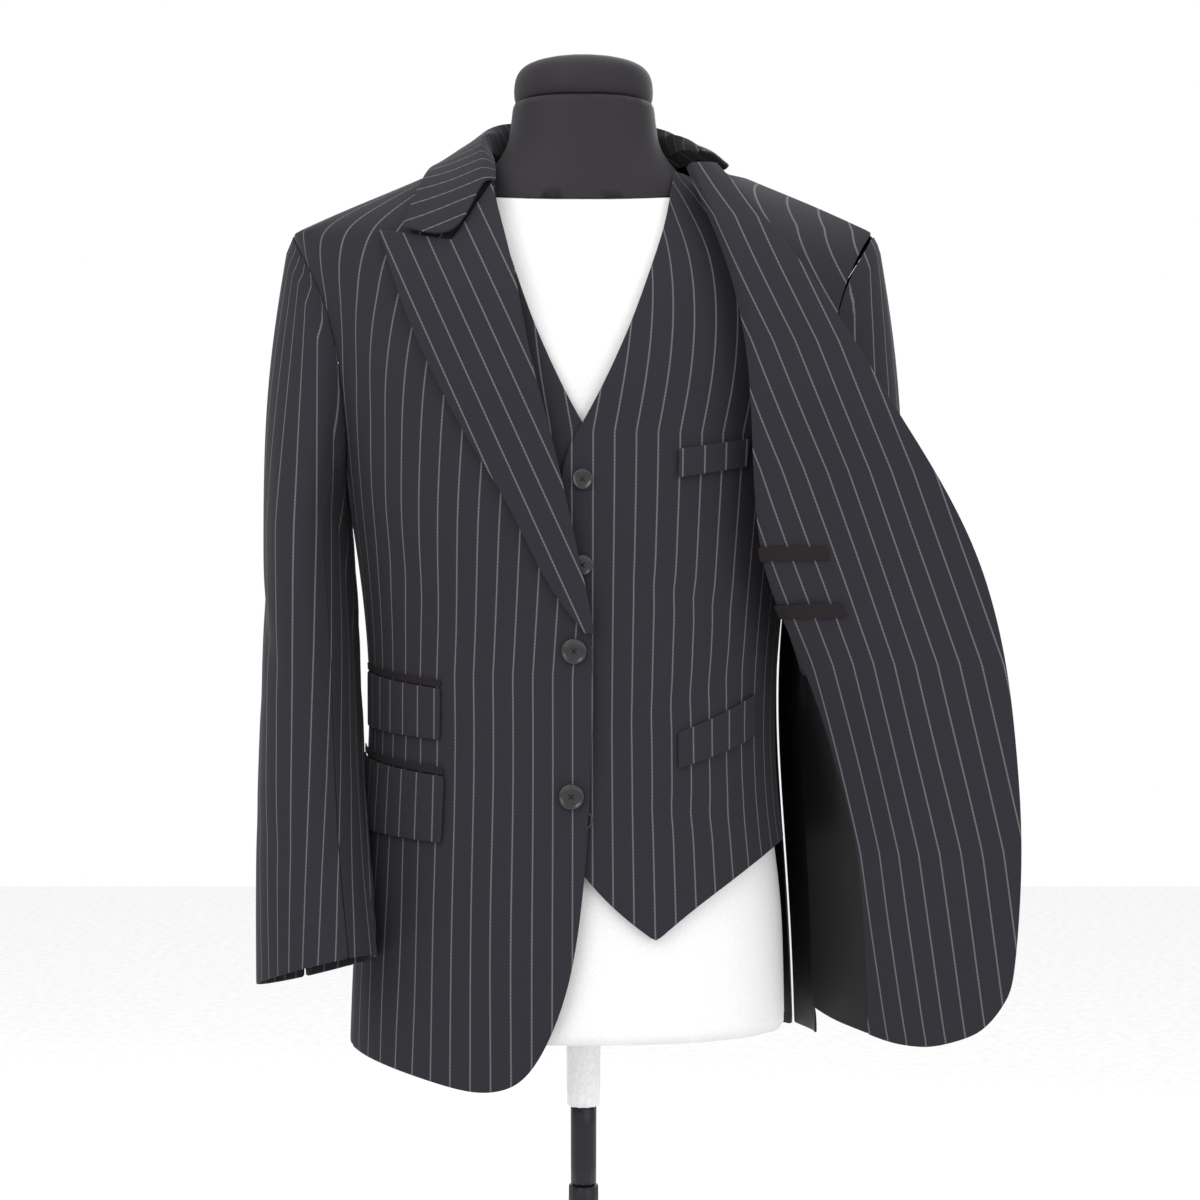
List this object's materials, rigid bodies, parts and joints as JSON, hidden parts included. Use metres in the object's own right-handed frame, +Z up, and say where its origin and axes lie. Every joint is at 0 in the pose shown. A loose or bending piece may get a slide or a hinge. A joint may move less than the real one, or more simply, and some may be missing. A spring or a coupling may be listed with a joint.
{
  "type": "three-piece suit on dress form with stand",
  "caption": "Striped jacket, worn half open, over a buttoned waistcoat, on a limbless dress form with a pole and a round base.",
  "frame": {"origin": "on the floor under the middle of the pole", "axes": "+Z up, -Y is the wearer's front, +X is the wearer's left"},
  "size_m": [0.6087, 0.4, 1.5415],
  "materials": {
    "suiting": "matte striped wool",
    "lining": "satin lining",
    "jet": "matte wool",
    "button": "gloss",
    "form_cloth": "smooth knit",
    "neck_cloth": "smooth knit",
    "pole_white": "satin",
    "stand_metal": "satin"
  },
  "bodies": {
    "root": {"form_neck": "neck_cloth", "form_neck_cap": "neck_cloth", "form_torso": "form_cloth", "inner_pocket_jets_1": "jet", "inner_pocket_jets_2": "jet", "jacket_back_left": "suiting", "jacket_back_right": "suiting", "jacket_button_1": "button", "jacket_button_2": "button", "jacket_collar": "suiting", "jacket_facing_left": "suiting", "jacket_front_left": "suiting", "jacket_front_right": "suiting", "jacket_lapel_left": "suiting", "jacket_lapel_right": "suiting", "jacket_lining_left": "lining", "jacket_side_left": "suiting", "jacket_side_right": "suiting", "jacket_sleeve_left_top": "suiting", "jacket_sleeve_left_under": "suiting", "jacket_sleeve_right_top": "suiting", "jacket_sleeve_right_under": "suiting", "pocket_flap_left": "suiting", "pocket_flap_right": "suiting", "pocket_jet_left": "jet", "pocket_jet_right": "jet", "pole_collar": "stand_metal", "pole_lower": "stand_metal", "pole_sleeve": "pole_white", "pole_upper": "stand_metal", "stand_base": "stand_metal", "ticket_flap_right": "suiting", "ticket_jet_right": "jet", "waistcoat_back_left": "lining", "waistcoat_back_right": "lining", "waistcoat_button_1": "button", "waistcoat_button_2": "button", "waistcoat_button_3": "button", "waistcoat_button_4": "button", "waistcoat_button_5": "button", "waistcoat_chest_welt": "suiting", "waistcoat_front_left": "suiting", "waistcoat_front_right": "suiting", "waistcoat_hip_welt": "suiting"}
  },
  "joints": []
}
